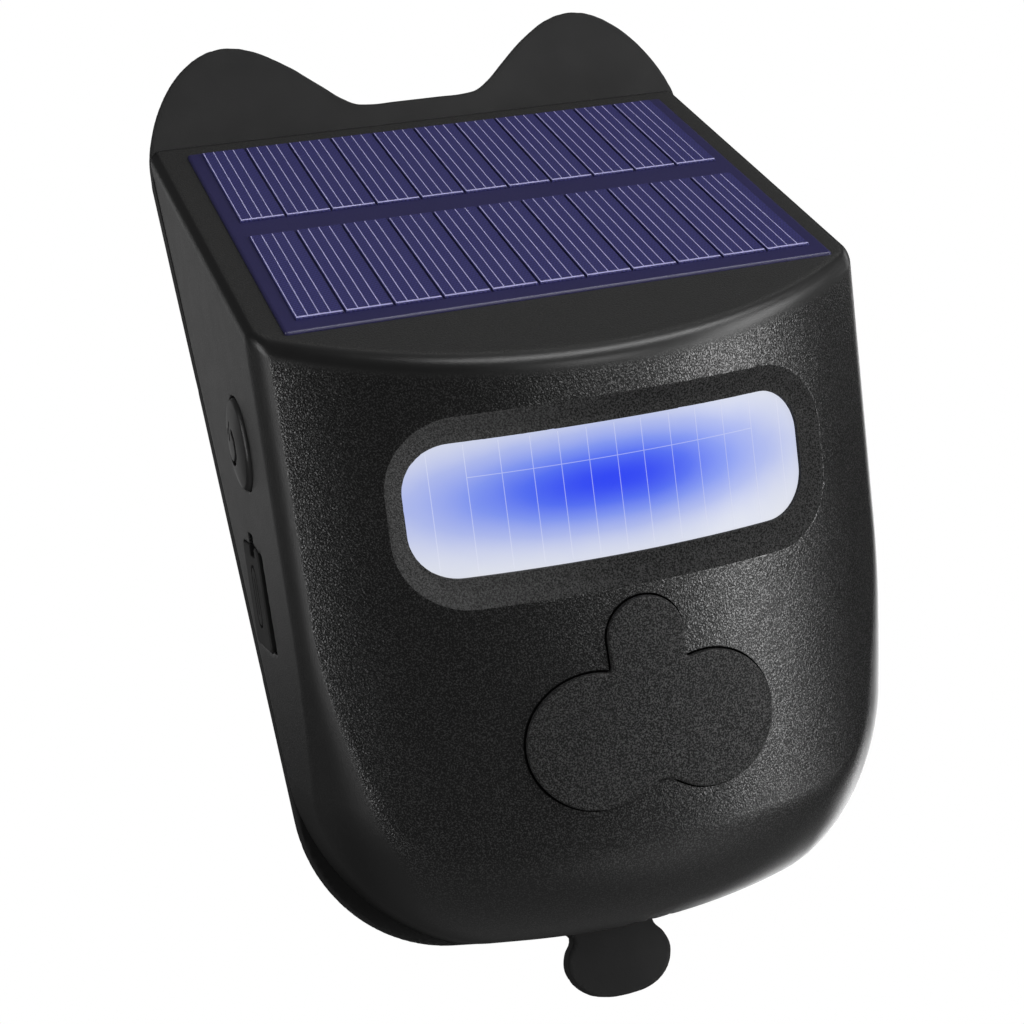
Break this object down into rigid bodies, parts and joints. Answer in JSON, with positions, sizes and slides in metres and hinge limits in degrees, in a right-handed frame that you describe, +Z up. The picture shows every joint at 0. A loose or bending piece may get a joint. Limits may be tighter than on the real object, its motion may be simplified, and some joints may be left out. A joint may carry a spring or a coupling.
{
  "type": "ultrasonic pest repeller",
  "caption": "Wall-hung solar animal repeller: wedge housing with sloped panel, light window, raised pad, side button and rubber charging flap, back plate with ears and tail.",
  "frame": {"origin": "centre of the flat wall face of the rear cover, midway between the ear tips and the tail", "axes": "+Z up along the wall, -Y out of the wall towards the viewer, +X to the viewer's right when facing the front"},
  "size_m": [0.0885, 0.0593, 0.1548],
  "materials": {
    "housing_plastic": "fine spark-eroded texture, satin black",
    "cover_plastic": "smooth matt black",
    "seal_rubber": "matt black silicone",
    "screw_steel": "zinc plated",
    "foam_tape": "black foam",
    "panel_laminate": "glossy laminate over navy board",
    "solar_cell": "blue-violet silicon under clear laminate",
    "lens_plastic": "milky translucent, lit blue from behind",
    "white_plastic": "white, slightly glossy",
    "circuit_board": "green solder mask",
    "led_package": "white package with yellow phosphor",
    "bright_metal": "drawn, bright",
    "sensor_orange": "resin face",
    "chip_plastic": "moulded epoxy",
    "coil_body": "ferrite and varnished winding",
    "ivory_plastic": "ivory",
    "button_plastic": "soft-touch black",
    "flap_rubber": "matt black rubber",
    "battery_sleeve": "heat-shrink sleeve",
    "inner_plastic": "black ABS",
    "contact_metal": "nickel-brass spring leaf",
    "mesh_cloth": "fine black dust mesh",
    "nose_plastic": "grained black",
    "lead_red": "PVC insulation",
    "lead_black": "PVC insulation"
  },
  "bodies": {
    "body": {"front_housing": "housing_plastic", "rear_cover": "cover_plastic", "cover_gasket": "seal_rubber", "cover_screw_1": "screw_steel", "cover_screw_2": "screw_steel", "cover_screw_3": "screw_steel", "cover_screw_4": "screw_steel", "solar_adhesive": "foam_tape", "solar_backboard": "panel_laminate", "solar_cells_lower": "solar_cell", "solar_cells_upper": "solar_cell", "window_lens": "lens_plastic", "light_reflector": "white_plastic", "lamp_board": "circuit_board", "strobe_led_1": "led_package", "strobe_led_2": "led_package", "motion_sensor": "bright_metal", "light_sensor": "sensor_orange", "main_board": "circuit_board", "board_screw_1": "screw_steel", "board_screw_2": "screw_steel", "board_screw_3": "screw_steel", "board_screw_4": "screw_steel", "control_chip": "chip_plastic", "drive_coil": "coil_body", "smoothing_capacitor": "chip_plastic", "side_board": "circuit_board", "tact_switch": "chip_plastic", "charging_socket": "bright_metal", "socket_tongue": "chip_plastic", "battery_cell": "battery_sleeve", "battery_tray": "inner_plastic", "battery_contact_left": "contact_metal", "battery_contact_right": "contact_metal", "sounder_can": "bright_metal", "sounder_cone": "bright_metal", "outlet_mesh": "mesh_cloth", "nose_pad": "nose_plastic", "battery_lead_red": "lead_red", "battery_lead_black": "lead_black", "solar_lead_red": "lead_red", "solar_lead_black": "lead_black", "sounder_lead_red": "lead_red", "sounder_lead_black": "lead_black"},
    "button": {"power_button": "button_plastic"},
    "plunger": {"tact_plunger": "ivory_plastic"},
    "flap": {"charging_flap": "flap_rubber"}
  },
  "joints": [
    {"name": "button_press", "type": "slide", "parent": "body", "child": "button", "axis": [1, 0, 0], "range_m": [0, 0.0008], "stiffness_N_per_m": 1500},
    {"name": "plunger_press", "type": "slide", "parent": "body", "child": "plunger", "axis": [1, 0, 0], "range_m": [0, 0.0008]},
    {"name": "flap_hinge", "type": "hinge", "parent": "body", "child": "flap", "pos_m": [-0.04325, -0.00805, -0.00872], "axis": [0, -0.3502, 0.9367], "range_deg": [-120, 0]}
  ],
  "couplings": [
    {"joint": "plunger_press", "follows": "button_press", "ratio": 1}
  ]
}
